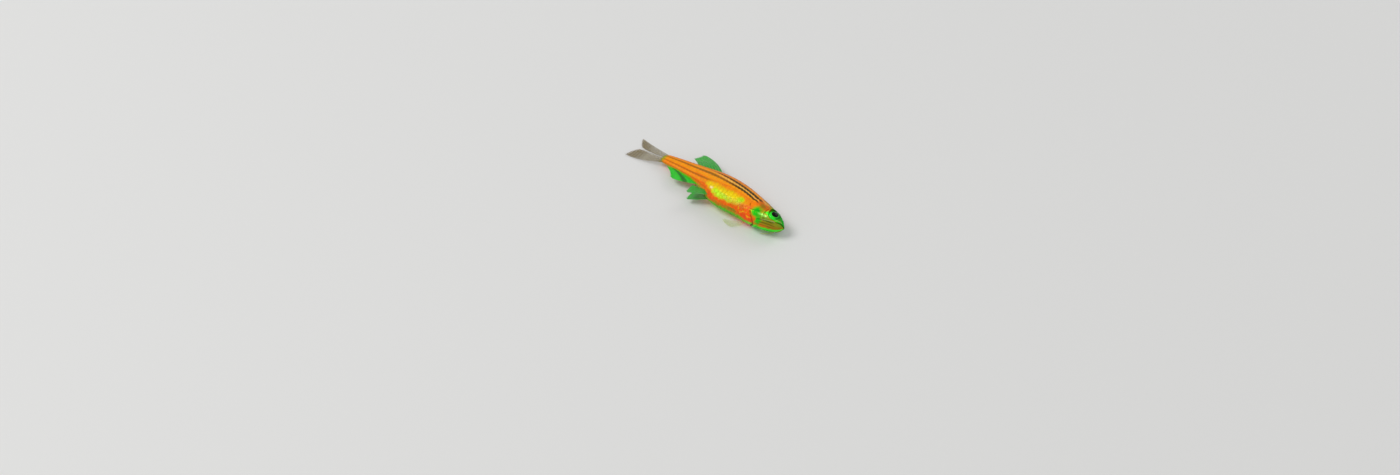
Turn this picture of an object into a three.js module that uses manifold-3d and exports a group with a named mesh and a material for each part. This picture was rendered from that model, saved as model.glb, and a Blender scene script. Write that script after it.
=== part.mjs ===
// A small striped danio, life size, lying on its left side with its right flank up.
// Millimetres, +Z up. The head points along +X and the back along +Y. The origin is on the
// flat where the left flank rests, under the fish's axis.

import * as THREE from "three";
import { mergeVertices } from "three/addons/utils/BufferGeometryUtils.js";
import Module from "manifold-3d";

const wasm = await Module();
wasm.setup();

// Driving dimensions. Lengths along the fish, called s, run from the snout's tip to the tail.
const standardLength = 25; // snout to the end of the flesh at the tail
const restStation = 8.6; // s of the origin
const axisHeight = 1.8; // the fish's middle plane over the floor
const tailSag = 0.95; // how much lower the tail's flesh ends than the middle plane
const sagStart = 0.45; // share of the length where the tail starts to sag
const finTipHeight = 0.15; // middle plane of the tail fin at its tips
const gap = 0.27; // between touching pieces
const smallGap = 0.2; // round the eyes and the lower jaw

const share = (fraction) => fraction * standardLength;
const eye = {
  s: share(0.085), y: share(0.004), z: 1.12, // its middle, z out from the middle plane
  radius: share(0.038), depth: 0.44, // depth is half its thickness
  lean: [0.27, 0.2], // how far it faces to the snout and to the back, per unit outwards
};
const brow = { rise: 0.2, spread: 1.3 }; // the swelling round the eye, its spread in eye radii
const skullKeel = 0.8; // under 1 makes the top of the head broad and flat
const clamp = THREE.MathUtils.clamp;
const lerp = THREE.MathUtils.lerp;
const smoothstep = THREE.MathUtils.smoothstep;
const radians = THREE.MathUtils.degToRad;

// A smooth curve through [s, value] pairs, both as shares of the length, that never overshoots them.
function profile(pairs) {
  const s = pairs.map((pair) => share(pair[0]));
  const value = pairs.map((pair) => share(pair[1]));
  const last = s.length - 1;
  const slope = (i) => (value[i + 1] - value[i]) / (s[i + 1] - s[i]);
  const tangent = s.map((_, i) => {
    if (i === 0) return slope(0);
    if (i === last) return slope(last - 1);
    const before = slope(i - 1);
    const after = slope(i);
    return before * after <= 0 ? 0 : (2 * before * after) / (before + after);
  });
  return (at) => {
    const x = clamp(at, s[0], s[last]);
    const i = Math.min(
      last - 1,
      s.findLastIndex((station) => station <= x),
    );
    const width = s[i + 1] - s[i];
    const t = (x - s[i]) / width;
    const t2 = t * t;
    const t3 = t2 * t;
    return (
      value[i] * (2 * t3 - 3 * t2 + 1) +
      value[i + 1] * (3 * t2 - 2 * t3) +
      width * (tangent[i] * (t3 - 2 * t2 + t) + tangent[i + 1] * (t3 - t2))
    );
  };
}

// Side view: the back, the belly and the line where the body is widest.
const backLine = profile([
  [0, 0.016], [0.03, 0.031], [0.06, 0.046], [0.1, 0.06], [0.15, 0.074], [0.2, 0.088], [0.25, 0.1],
  [0.3, 0.111], [0.4, 0.126], [0.48, 0.129], [0.55, 0.125], [0.62, 0.115], [0.7, 0.1],
  [0.8, 0.084], [0.9, 0.069], [1, 0.052],
]);
const bellyLine = profile([
  [0, -0.024], [0.03, -0.049], [0.06, -0.067], [0.1, -0.083], [0.15, -0.094], [0.22, -0.1],
  [0.3, -0.104], [0.4, -0.114], [0.46, -0.117], [0.52, -0.108], [0.58, -0.082], [0.64, -0.058],
  [0.7, -0.045], [0.8, -0.034], [0.9, -0.026], [1, -0.02],
]);
const widestLine = profile([
  [0, 0], [0.1, 0], [0.25, -0.006], [0.45, -0.008], [0.65, 0.014], [0.85, 0.022], [1, 0.02],
]);
const halfWidth = profile([
  [0, 0.024], [0.03, 0.036], [0.06, 0.047], [0.1, 0.057], [0.15, 0.068], [0.2, 0.0765],
  [0.3, 0.0775], [0.4, 0.077], [0.5, 0.071], [0.6, 0.058], [0.7, 0.043], [0.8, 0.031],
  [0.9, 0.022], [1, 0.014],
]);
const noseRound = share(0.036);
const tailRound = share(0.045);

// 0 at the two ends of the body and 1 between them, so that both ends are round.
function endRound(s) {
  const nose = clamp(1 - s / noseRound, 0, 1);
  const tail = clamp((s - standardLength + tailRound) / tailRound, 0, 1);
  return Math.sqrt(Math.max(0, 1 - nose * nose)) * Math.sqrt(Math.max(0, 1 - tail * tail));
}

// Height of the middle plane over the floor: level to the vent, then the tail sags to the floor.
function middleHeight(s) {
  const t = clamp((s / standardLength - sagStart) / (1 - sagStart), 0, 1);
  const flesh = axisHeight - tailSag * Math.pow(t, 1.7);
  const past = clamp((s - standardLength) / share(0.2), 0, 1);
  return flesh - (flesh - finTipHeight) * past * (2 - past);
}

// From fish places (s back from the snout, y to the back, z to the right flank) to the part's frame.
function place(s, y, z) {
  return new THREE.Vector3(restStation - s, y, middleHeight(s) + z);
}

// How far the flank stands out at a place: w is 1 where the body is widest, 0 on the back and belly.
function flankReach(s, y, w, extra = 0) {
  const skull = lerp(skullKeel, 1, smoothstep(s, share(0.13), share(0.26)));
  const keel = y > widestLine(s) ? skull : lerp(1, 1.12, smoothstep(s, share(0.2), share(0.5)));
  const away = Math.hypot(s - eye.s, y - eye.y) / (brow.spread * eye.radius);
  const swell = brow.rise * Math.exp(-away * away) * smoothstep(w, 0, 0.35);
  const width = (halfWidth(s) + gillSwell(s, y)) * endRound(s) + extra;
  return width * Math.pow(w, keel) + swell;
}

// A point on the body's skin: turn 0 is the back, a quarter is the right flank, a half the belly.
function skinPoint(s, turn, extra = 0) {
  const angle = turn * 2 * Math.PI;
  const c = Math.cos(angle);
  const w = Math.sin(angle);
  const round = endRound(s);
  const middle = widestLine(s);
  const reach = c > 0 ? backLine(s) - middle : middle - bellyLine(s);
  const y = middle * round + mouthLift(s) * (1 - round) + (reach * round + extra) * c;
  return place(s, y, Math.sign(w) * flankReach(s, middle + c * reach, Math.abs(w), extra));
}

// The mouth's tip is a little below the axis.
const mouthTip = share(-0.004);
function mouthLift(s) {
  return s < noseRound ? mouthTip : share(0.02);
}

// The gill covers stand a little proud of the flank behind them.
function gillSwell(s, y) {
  const along = smoothstep(s, share(0.12), share(0.2)) * (1 - smoothstep(s, share(0.235), share(0.262)));
  const across = 1 - smoothstep(Math.abs(y - share(-0.02)), share(0.03), share(0.08));
  return share(0.004) * along * across;
}

// Half the body's thickness at a place in the side view, 0 outside its outline.
function flankAt(s, y) {
  const middle = widestLine(s);
  const reach = y > middle ? backLine(s) - middle : middle - bellyLine(s);
  const part = Math.abs(y - middle) / (reach * endRound(s) + 1e-6);
  return part >= 1 ? 0 : flankReach(s, y, Math.sqrt(1 - part * part));
}

// Turns points and triangles into a solid whose faces point out.
function solidFrom(points, triangles) {
  let volume = 0;
  const cross = new THREE.Vector3();
  for (const [a, b, c] of triangles) {
    volume += points[a].dot(cross.crossVectors(points[b], points[c]));
  }
  const turned = volume < 0 ? triangles.map(([a, b, c]) => [a, c, b]) : triangles;
  return new wasm.Manifold(
    new wasm.Mesh({
      numProp: 3,
      vertProperties: new Float32Array(points.flatMap((p) => [p.x, p.y, p.z])),
      triVerts: new Uint32Array(turned.flat()),
    }),
  );
}

// A three.js geometry as a solid, once its seams are merged.
function solidOf(geometry) {
  const bare = geometry.clone();
  bare.deleteAttribute("normal");
  bare.deleteAttribute("uv");
  const merged = mergeVertices(bare, 1e-4);
  const position = merged.getAttribute("position");
  const points = Array.from({ length: position.count }, (_, i) =>
    new THREE.Vector3().fromBufferAttribute(position, i),
  );
  const index = merged.index.array;
  const triangles = [];
  for (let i = 0; i < index.length; i += 3) {
    const face = [index[i], index[i + 1], index[i + 2]];
    if (new Set(face).size === 3) triangles.push(face);
  }
  return solidFrom(points, triangles);
}

// The whole body as one closed loft, grown outwards by extra.
const bodyRings = 50;
const bodySides = 36;
function bodySolid(extra = 0) {
  const points = [place(-extra, mouthTip, 0)];
  const triangles = [];
  for (let ring = 1; ring < bodyRings; ring++) {
    const s = standardLength * Math.pow(ring / bodyRings, 1.3);
    for (let side = 0; side < bodySides; side++) points.push(skinPoint(s, side / bodySides, extra));
  }
  points.push(place(standardLength + extra, share(0.02), 0));
  const end = points.length - 1;
  const at = (ring, side) => 1 + (ring - 1) * bodySides + (side % bodySides);
  for (let side = 0; side < bodySides; side++) {
    triangles.push([0, at(1, side), at(1, side + 1)]);
    triangles.push([end, at(bodyRings - 1, side + 1), at(bodyRings - 1, side)]);
    for (let ring = 1; ring < bodyRings - 1; ring++) {
      triangles.push([at(ring, side), at(ring + 1, side), at(ring + 1, side + 1)]);
      triangles.push([at(ring, side), at(ring + 1, side + 1), at(ring, side + 1)]);
    }
  }
  return solidFrom(points, triangles);
}

// A prism through the fish: a closed side-view outline of [s, y] pairs, from one z to another.
function prism(outline, low, high) {
  const shape = new THREE.Shape(outline.map(([s, y]) => new THREE.Vector2(restStation - s, y)));
  const geometry = new THREE.ExtrudeGeometry(shape, { depth: high - low, bevelEnabled: false, curveSegments: 1 });
  geometry.translate(0, 0, axisHeight + low);
  return solidOf(geometry);
}

// Samples of a smooth side-view curve through [s, y] pairs given as shares of the length.
function sampled(pairs, count, closed = false) {
  const curve = new THREE.CatmullRomCurve3(
    pairs.map(([s, y]) => new THREE.Vector3(share(s), share(y), 0)),
    closed,
    "centripetal",
  );
  const points = curve.getSpacedPoints(count);
  if (closed) points.pop();
  return points.map((p) => [p.x, p.y]);
}

// A thin cut of the gap's width that follows a side-view line right through the fish.
function thinCut(line, width = gap) {
  const side = (sign) =>
    line.map(([s, y], i) => {
      const [s0, y0] = line[Math.max(0, i - 1)];
      const [s1, y1] = line[Math.min(line.length - 1, i + 1)];
      const length = Math.hypot(s1 - s0, y1 - y0);
      return [s - (sign * (y1 - y0) * width) / (2 * length), y + (sign * (s1 - s0) * width) / (2 * length)];
    });
  return prism([...side(1), ...side(-1).reverse()], -standardLength / 4, standardLength / 4);
}

// Moves each point of a closed outline outwards, away from its middle line.
function grown(outline, by) {
  const area = THREE.ShapeUtils.area(outline.map(([s, y]) => new THREE.Vector2(s, y)));
  return outline.map(([s, y], i) => {
    const [s0, y0] = outline[(i + outline.length - 1) % outline.length];
    const [s1, y1] = outline[(i + 1) % outline.length];
    const length = Math.hypot(s1 - s0, y1 - y0) * Math.sign(area);
    return [s + ((y1 - y0) * by) / length, y - ((s1 - s0) * by) / length];
  });
}

const biggest = (solid) => solid.decompose().sort((a, b) => b.volume() - a.volume())[0];
const onFloor = (solid) => solid.trimByPlane([0, 0, 1], 0);

// Eyes: flattened balls that sit deep in the head and bulge a little past it.
function eyeBall(side, radius, depth, outwards = 0) {
  const ball = new THREE.SphereGeometry(1, 22, 12);
  ball.rotateX(Math.PI / 2);
  ball.scale(radius, radius, depth);
  const facing = new THREE.Vector3(...eye.lean, side).normalize();
  ball.applyQuaternion(new THREE.Quaternion().setFromUnitVectors(new THREE.Vector3(0, 0, side), facing));
  const centre = place(eye.s, eye.y, side * eye.z).addScaledVector(facing, outwards);
  ball.translate(centre.x, centre.y, centre.z);
  return solidOf(ball);
}
const eyeSolid = (side, extra = 0) => eyeBall(side, eye.radius + extra, eye.depth + extra);
// The raised clear cornea makes the middle of the eye stand higher than its rim.
const eyeWithCornea = (side) =>
  eyeSolid(side).add(eyeBall(side, eye.radius * 0.55, eye.depth * 0.9, eye.depth * 0.3));

// Mouth: a slanting line from the tip to its corner, then down to the throat behind the lower jaw.
const mouthCorner = [0.05, -0.032];
const mouthLine = sampled([[-0.03, 0.012], [0.0, -0.004], [0.024, -0.014], mouthCorner], 7);
const jawPath = [[-0.03, 0.012], [0.0, -0.004], [0.024, -0.014], [0.045, -0.027], [0.058, -0.042],
  [0.074, -0.07], [0.1, -0.12]];
const mouthCut = thinCut(sampled(jawPath, 14), smallGap);
// Height of the mouth line at a station between the tip and the corner.
function mouthAt(s) {
  const i = Math.max(1, mouthLine.findIndex((point) => point[0] >= s));
  const [s0, y0] = mouthLine[i - 1];
  const [s1, y1] = mouthLine[i];
  return lerp(y0, y1, clamp((s - s0) / (s1 - s0), 0, 1));
}

// A lip is a thin roll that follows the skin beside the mouth line, round the front from corner to corner.
function lip(offset, radius) {
  const steps = 7;
  const trace = (side) =>
    Array.from({ length: steps }, (_, i) => {
      const s = lerp(share(mouthCorner[0]) * 0.96, share(0.007), i / (steps - 1));
      const y = mouthAt(s) + offset;
      return place(s, y, side * Math.max(0.1, flankAt(s, y) - 0.05));
    });
  const path = new THREE.CatmullRomCurve3([...trace(1), ...trace(-1).reverse()]);
  const section = new THREE.Shape().absarc(0, 0, radius, 0, 2 * Math.PI, false);
  const roll = new THREE.ExtrudeGeometry(section, {
    steps: 18, extrudePath: path, bevelEnabled: false, curveSegments: 3,
  });
  return solidOf(roll);
}

// Nostrils: on each side a pit with a raised rim, between the eye and the mouth.
const nostril = { s: share(0.026), y: share(0.018), radius: 0.11, rim: 0.05 };
function nostrilPiece(side, geometry) {
  const centre = place(nostril.s, nostril.y, side * flankAt(nostril.s, nostril.y));
  const outwards = new THREE.Vector3(0.35, 0.45, side).normalize();
  geometry.applyQuaternion(new THREE.Quaternion().setFromUnitVectors(new THREE.Vector3(0, 0, 1), outwards));
  geometry.translate(centre.x, centre.y, centre.z);
  return solidOf(geometry);
}

// Gill covers: plates set in the sides of the head, with their rear edge at the gill opening.
const gillOpening = sampled(
  [[0.19, 0.15], [0.206, 0.08], [0.232, 0.03], [0.245, -0.015], [0.23, -0.052], [0.196, -0.082],
    [0.155, -0.105], [0.12, -0.14]],
  18,
);
const gillCoverOutline = sampled(
  [[0.152, -0.01], [0.157, 0.02], [0.178, 0.042], [0.21, 0.04], [0.238, 0.01], [0.25, -0.02],
    [0.228, -0.05], [0.196, -0.072], [0.168, -0.078], [0.153, -0.05]],
  22,
  true,
);
const gillPlateDepth = 0.95; // how far the plate's flat inner face is from the middle plane
function gillCover(side, extra) {
  const outline = extra ? grown(gillCoverOutline, extra) : gillCoverOutline;
  const inner = gillPlateDepth - extra;
  return side > 0 ? prism(outline, inner, 4) : prism(outline, -4, -inner);
}

// Fins. A fin is a sheet of rays that spread from a root. Each ray is a ridge on both faces, and the
// membrane between two rays is thinner and a little shorter. Both faces have the same triangles.
const finThickness = 0.46;
const rayHeight = 0.07;
function finSolid({ rays, rows, ray, root = finThickness, tip = 0.24 }) {
  const columns = 2 * rays - 2;
  const sheet = new THREE.PlaneGeometry(1, 1, columns, rows);
  const count = (columns + 1) * (rows + 1);
  const points = [];
  for (const face of [1, -1]) {
    for (let row = 0; row <= rows; row++) {
      for (let column = 0; column <= columns; column++) {
        const u = row / rows;
        const isRay = column % 2 === 0;
        const reach = isRay ? u : u * (1 - 0.05 * u);
        const { s, y, z } = ray(reach, column / columns);
        const thick = lerp(root, tip, u) / 2 + (isRay ? rayHeight : -rayHeight / 2) * (1 - 0.45 * u);
        points.push(place(s, y, z + face * thick));
      }
    }
  }
  const grid = sheet.index.array;
  const triangles = [];
  for (let i = 0; i < grid.length; i += 3) {
    triangles.push([grid[i], grid[i + 1], grid[i + 2]]);
    triangles.push([grid[i] + count, grid[i + 2] + count, grid[i + 1] + count]);
  }
  const rim = [];
  for (let column = 0; column < columns; column++) rim.push(column);
  for (let row = 0; row < rows; row++) rim.push(row * (columns + 1) + columns);
  for (let column = columns; column > 0; column--) rim.push(rows * (columns + 1) + column);
  for (let row = rows; row > 0; row--) rim.push(row * (columns + 1));
  rim.forEach((a, i) => {
    const b = rim[(i + 1) % rim.length];
    triangles.push([a, b, b + count], [a, b + count, a + count]);
  });
  return solidFrom(points, triangles);
}

// One ray in the side view: from its root it leaves at one angle and bends to another.
function bentRay(base, length, startAngle, endAngle, u) {
  const angle = radians(lerp(startAngle, endAngle, u / 2));
  return { s: base[0] + length * u * Math.cos(angle), y: base[1] + length * u * Math.sin(angle) };
}

const finRoot = share(0.022); // how far a fin's sheet starts inside the body
function dorsalRay(u, v) {
  const s = share(lerp(0.578, 0.745, v));
  const base = [s - 0.3 * finRoot, backLine(s) - finRoot];
  const length = share(lerp(0.225, 0.09, Math.pow(v, 0.8)) * (v < 0.06 ? 0.92 : 1)) + finRoot;
  const end = bentRay(base, length, lerp(46, 40, v), lerp(-8, 22, v), u);
  return { ...end, z: 0.16 * Math.sin(3 * v + 1.5 * u) * u };
}
function analRay(u, v) {
  const s = share(lerp(0.645, 0.815, v));
  const base = [s - 0.3 * finRoot, bellyLine(s) + finRoot];
  const length = share(lerp(0.19, 0.09, Math.pow(v, 0.8)) * (v < 0.05 ? 0.88 : 1)) + finRoot;
  const end = bentRay(base, length, lerp(-33, -22, v), lerp(-2, -4, v), u);
  return { ...end, z: 0.14 * Math.sin(2.6 * v - 1.2 * u) * u };
}
// The tail fin's two lobes part along the middle of the tail.
const tailMiddle = share(0.016);
const tailRoot = share(0.955);
function caudalRay(side, u, v) {
  const base = [tailRoot + share(0.012) * (1 - v), tailMiddle + side * (0.15 + share(0.026) * v)];
  const length = share(lerp(0.2, 0.27, Math.pow(v, 0.75)) * (v > 0.93 ? 0.92 : 1));
  const open = side > 0 ? 0.5 : 1;
  const end = bentRay(base, length, side * lerp(1.5, 24, v) * open, side * lerp(1.5, 8, v) * open, u);
  return { ...end, z: 0.1 * Math.sin(4 * v * side + 2 * u) * u * (1 - u) };
}
const pelvicStation = 0.53;
function pelvicRay(side, u, v) {
  const s = share(lerp(pelvicStation - 0.012, pelvicStation + 0.03, v));
  const base = [s, bellyLine(s) + finRoot];
  const length = share(lerp(0.13, 0.075, v)) + finRoot;
  const end = bentRay(base, length, lerp(-38, -20, v), lerp(-30, -12, v), u);
  return { ...end, z: side * (0.5 + 0.28 * u) };
}
// The right pectoral fin leans out from the flank. The left one spreads under the throat, over the floor.
function pectoralRight(u, v) {
  const base = [share(0.252), share(lerp(-0.056, -0.08, v))];
  const length = share(lerp(0.185, 0.105, Math.pow(v, 1.2)));
  const end = bentRay(base, length, lerp(-12, -34, v), lerp(-6, -20, v), u);
  const flank = Math.max(flankAt(end.s, end.y), share(0.055));
  return { ...end, z: flank + lerp(-0.5, 0.5, Math.min(1, Math.pow(4 * u, 1.2))) + 0.4 * u };
}
function pectoralLeft(u, v) {
  const base = [share(0.24), share(lerp(-0.06, -0.08, v))];
  const length = share(lerp(0.16, 0.095, Math.pow(v, 1.2)));
  const end = bentRay(base, length, lerp(-36, -62, v), lerp(-18, -44, v), u);
  return { ...end, z: 0.26 - axisHeight };
}

// Barbels: two short pairs of feelers, one beside the snout and one at the corners of the mouth.
const barbelRoot = 0.2;
function barbel(side, path) {
  const curve = new THREE.CatmullRomCurve3(path.map(([s, y, z]) => place(share(s), share(y), side * share(z))));
  const rings = 10;
  const sides = 8;
  const frames = curve.computeFrenetFrames(rings, false);
  const points = [];
  for (let ring = 0; ring <= rings; ring++) {
    const radius = lerp(barbelRoot, 0.07, ring / rings);
    const centre = curve.getPointAt(ring / rings);
    for (let k = 0; k < sides; k++) {
      const angle = (2 * Math.PI * k) / sides;
      points.push(
        centre
          .clone()
          .addScaledVector(frames.normals[ring], radius * Math.cos(angle))
          .addScaledVector(frames.binormals[ring], radius * Math.sin(angle)),
      );
    }
  }
  points.push(curve.getPointAt(0), curve.getPointAt(1));
  const start = points.length - 2;
  const triangles = [];
  for (let k = 0; k < sides; k++) {
    const next = (k + 1) % sides;
    triangles.push([start, next, k], [start + 1, rings * sides + k, rings * sides + next]);
    for (let ring = 0; ring < rings; ring++) {
      const a = ring * sides;
      triangles.push([a + k, a + next, a + sides + next], [a + k, a + sides + next, a + sides + k]);
    }
  }
  return solidFrom(points, triangles);
}
const snoutBarbel = [
  [0.018, 0.002, 0.015], [0.02, -0.002, 0.036], [0.034, -0.012, 0.052], [0.058, -0.026, 0.062],
];
const cornerBarbel = [
  [0.052, -0.032, 0.026], [0.06, -0.04, 0.05], [0.092, -0.064, 0.062], [0.13, -0.088, 0.07],
];

// Assembly of the solids.
const wholeBody = bodySolid();
const grownBody = bodySolid(gap);
const peduncleStation = 0.66;
const vent = sampled(
  [[peduncleStation + 0.02, 0.2], [peduncleStation, 0.02], [peduncleStation - 0.02, -0.2]],
  4,
);

const bodyParts = wholeBody
  .subtract(thinCut(gillOpening))
  .subtract(thinCut(vent))
  .subtract(mouthCut)
  .decompose();
const partAt = (s, y) => {
  const wanted = restStation - s;
  return bodyParts.find((part) => {
    const { min, max } = part.boundingBox();
    return min[0] < wanted && wanted < max[0] && min[1] < y && y < max[1];
  });
};
const byLength = [...bodyParts].sort((a, b) => b.volume() - a.volume());
const torso = byLength[0];
const tailStem = partAt(share(0.95), share(0.02));
const headBlock = partAt(share(0.12), share(0.03));
const jawFront = restStation - share(0.04);
const jawBlock = bodyParts.find((part) => part !== headBlock && part.boundingBox().max[0] > jawFront);

const lipRadius = 0.12;
const lipOffset = (smallGap / 2 + lipRadius) * 0.95;
let head = headBlock.add(lip(lipOffset, lipRadius));
for (const side of [1, -1]) {
  const rim = new THREE.TorusGeometry(nostril.radius + nostril.rim / 2, nostril.rim, 5, 10);
  head = head.add(nostrilPiece(side, rim));
  head = head.subtract(nostrilPiece(side, new THREE.SphereGeometry(nostril.radius, 10, 6)));
  head = head.subtract(eyeSolid(side, smallGap));
  head = head.subtract(gillCover(side, smallGap));
}
// The preopercle's edge: a shallow groove on the cheek between the eye and the gill cover.
const cheekGroove = { depth: 0.13, width: 0.16 };
const cheekEdge = sampled([[0.131, 0.03], [0.135, -0.012], [0.132, -0.045], [0.108, -0.064]], 8);
head = head.subtract(thinCut(cheekEdge, cheekGroove.width).subtract(bodySolid(-cheekGroove.depth)));
head = biggest(head.subtract(mouthCut));
const jaw = biggest(jawBlock.add(lip(-lipOffset, lipRadius)).subtract(mouthCut).subtract(head));

const group = new THREE.Group();
const skinPaint = { color: 0xf08a1e, roughness: 0.38, metalness: 0 };
const finPaint = { color: 0x9fd6a0, roughness: 0.3, metalness: 0 };
const gillPaint = { color: 0x6fce4a, roughness: 0.3, metalness: 0.2 };
const eyePaint = { color: 0x14211a, roughness: 0.12, metalness: 0 };
const throatPaint = { color: 0xc98a2a, roughness: 0.4, metalness: 0 };

function addNode(name, solid, paint) {
  const mesh = solid.getMesh();
  const geometry = new THREE.BufferGeometry();
  const position = new Float32Array(mesh.numVert * 3);
  for (let i = 0; i < mesh.numVert; i++) {
    position.set(mesh.vertProperties.subarray(i * mesh.numProp, i * mesh.numProp + 3), i * 3);
  }
  geometry.setAttribute("position", new THREE.BufferAttribute(position, 3));
  geometry.setIndex(new THREE.BufferAttribute(mesh.triVerts, 1));
  geometry.computeVertexNormals();
  const node = new THREE.Mesh(geometry, new THREE.MeshStandardMaterial(paint));
  node.name = name;
  group.add(node);
}
const offBody = (solid) => biggest(onFloor(solid.subtract(grownBody)));
const sides = { right: 1, left: -1 };

addNode("head", onFloor(head), skinPaint);
addNode("lower_jaw", onFloor(jaw), throatPaint);
addNode("torso", onFloor(torso), skinPaint);
addNode("tail_stem", onFloor(tailStem), skinPaint);
for (const [word, side] of Object.entries(sides)) {
  addNode(`eye_${word}`, eyeWithCornea(side), eyePaint);
  addNode(`gill_cover_${word}`, onFloor(biggest(headBlock.intersect(gillCover(side, 0)))), gillPaint);
  addNode(`snout_barbel_${word}`, offBody(barbel(side, snoutBarbel)), skinPaint);
  addNode(`mouth_barbel_${word}`, offBody(barbel(side, cornerBarbel)), skinPaint);
  const pelvic = finSolid({ rays: 7, rows: 6, ray: (u, v) => pelvicRay(side, u, v), root: 0.42 });
  addNode(`pelvic_fin_${word}`, offBody(pelvic), finPaint);
}
addNode("dorsal_fin", offBody(finSolid({ rays: 9, rows: 7, ray: dorsalRay })), finPaint);
addNode("anal_fin", offBody(finSolid({ rays: 14, rows: 6, ray: analRay })), finPaint);
const rightPectoral = finSolid({ rays: 10, rows: 8, ray: pectoralRight });
addNode("pectoral_fin_right", offBody(rightPectoral), finPaint);
const leftPectoral = finSolid({ rays: 10, rows: 6, ray: pectoralLeft, root: 0.42 });
addNode("pectoral_fin_left", offBody(leftPectoral), finPaint);
const upperCaudal = finSolid({ rays: 9, rows: 8, ray: (u, v) => caudalRay(1, u, v) });
addNode("caudal_fin_upper", offBody(upperCaudal), finPaint);
const lowerCaudal = finSolid({ rays: 9, rows: 8, ray: (u, v) => caudalRay(-1, u, v) });
addNode("caudal_fin_lower", offBody(lowerCaudal), finPaint);

export default group;
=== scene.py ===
import math
import random

import bmesh
import bpy
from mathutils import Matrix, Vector


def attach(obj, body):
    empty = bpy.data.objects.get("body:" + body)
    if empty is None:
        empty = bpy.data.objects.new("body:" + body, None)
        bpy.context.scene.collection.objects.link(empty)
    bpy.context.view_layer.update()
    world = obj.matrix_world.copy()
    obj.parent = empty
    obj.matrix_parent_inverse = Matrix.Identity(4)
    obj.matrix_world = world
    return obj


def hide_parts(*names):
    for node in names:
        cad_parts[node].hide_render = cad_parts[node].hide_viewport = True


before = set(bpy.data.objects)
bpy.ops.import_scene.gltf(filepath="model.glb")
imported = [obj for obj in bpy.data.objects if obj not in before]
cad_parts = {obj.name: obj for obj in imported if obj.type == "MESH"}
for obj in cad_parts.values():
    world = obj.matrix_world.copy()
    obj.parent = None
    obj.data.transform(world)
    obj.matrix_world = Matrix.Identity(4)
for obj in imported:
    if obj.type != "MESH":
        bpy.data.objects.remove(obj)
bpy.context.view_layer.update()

print("frame loaded")

# Lengths in this script are in millimetres until toScene turns them into metres.
fish = {
    "standardLength": 25.0,  # snout to the end of the flesh at the tail
    "restStation": 8.6,  # s of the origin
    "axisHeight": 1.8,  # the middle plane over the floor
    "tailSag": 0.95,
    "sagStart": 0.45,
    "sagPower": 1.7,
    "finTipHeight": 0.15,
    "finSag": 0.2,  # the tail fin comes down to the floor within this share of the length
    "mouthTip": -0.1,
    "tailMiddle": 0.02,  # the flesh at the tail closes this share of the length over the axis
    "noseRound": 0.9,
    "tailRound": 1.125,
    "floorGap": 0.012,  # the flattened left flank stays this far over the floor
    "skullKeel": 0.8,  # under 1 makes the top of the head broad and flat
    "skullEnd": (0.13, 0.26),  # where it gives way to the body's section, in shares of the length
    "tailKeel": 1.12,
    "keelGrows": (0.2, 0.5),
    "browRise": 0.2,  # the swelling round the eye
    "browSpread": 1.3,  # in eye radii
    "browEdge": 0.35,
    "halfGirth": 4.6,  # half way round the head
}
length = fish["standardLength"]
eye = {
    "s": 0.085 * length, "y": 0.004 * length, "z": 1.12,  # its middle, z out from the middle plane
    "radius": 0.038 * length, "depth": 0.44,
    "lean": (0.27, 0.2),  # how far it faces to the snout and to the back, per unit outwards
    "pupil": 0.55, "pupilRise": 0.09, "pupilSoft": 0.06, "segments": (56, 40),
}


def clamp(x, low=0.0, high=1.0):
    return max(low, min(high, x))


def mix(a, b, t):
    return a + (b - a) * t


def smooth(x, low, high):
    t = clamp((x - low) / (high - low))
    return t * t * (3 - 2 * t)


def profile(pairs):  # a smooth curve through shares of the length that never overshoots them
    stations = [pair[0] * length for pair in pairs]
    values = [pair[1] * length for pair in pairs]
    last = len(pairs) - 1
    slopes = [(values[i + 1] - values[i]) / (stations[i + 1] - stations[i]) for i in range(last)]
    tangents = [slopes[0]]
    for before, after in zip(slopes, slopes[1:]):
        tangents.append(0 if before * after <= 0 else 2 * before * after / (before + after))
    tangents.append(slopes[-1])

    def at(x):
        x = clamp(x, stations[0], stations[-1])
        i = max(j for j in range(last) if stations[j] <= x)
        width = stations[i + 1] - stations[i]
        t = (x - stations[i]) / width
        rise = 3 * t * t - 2 * t ** 3
        bend = width * (tangents[i] * (t ** 3 - 2 * t * t + t) + tangents[i + 1] * (t ** 3 - t * t))
        return values[i] + (values[i + 1] - values[i]) * rise + bend

    return at


backLine = profile([
    (0, 0.016), (0.03, 0.031), (0.06, 0.046), (0.1, 0.06), (0.15, 0.074), (0.2, 0.088), (0.25, 0.1),
    (0.3, 0.111), (0.4, 0.126), (0.48, 0.129), (0.55, 0.125), (0.62, 0.115), (0.7, 0.1),
    (0.8, 0.084), (0.9, 0.069), (1, 0.052),
])
bellyLine = profile([
    (0, -0.024), (0.03, -0.049), (0.06, -0.067), (0.1, -0.083), (0.15, -0.094), (0.22, -0.1),
    (0.3, -0.104), (0.4, -0.114), (0.46, -0.117), (0.52, -0.108), (0.58, -0.082), (0.64, -0.058),
    (0.7, -0.045), (0.8, -0.034), (0.9, -0.026), (1, -0.02),
])
widestLine = profile([
    (0, 0), (0.1, 0), (0.25, -0.006), (0.45, -0.008), (0.65, 0.014), (0.85, 0.022), (1, 0.02),
])
halfWidth = profile([
    (0, 0.024), (0.03, 0.036), (0.06, 0.047), (0.1, 0.057), (0.15, 0.068), (0.2, 0.0765),
    (0.3, 0.0775), (0.4, 0.077), (0.5, 0.071), (0.6, 0.058), (0.7, 0.043), (0.8, 0.031),
    (0.9, 0.022), (1, 0.014),
])


def share(fraction):
    return fraction * length


def smoothOver(x, stretch):  # as smooth, between two shares of the length
    return smooth(x, share(stretch[0]), share(stretch[1]))


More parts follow.
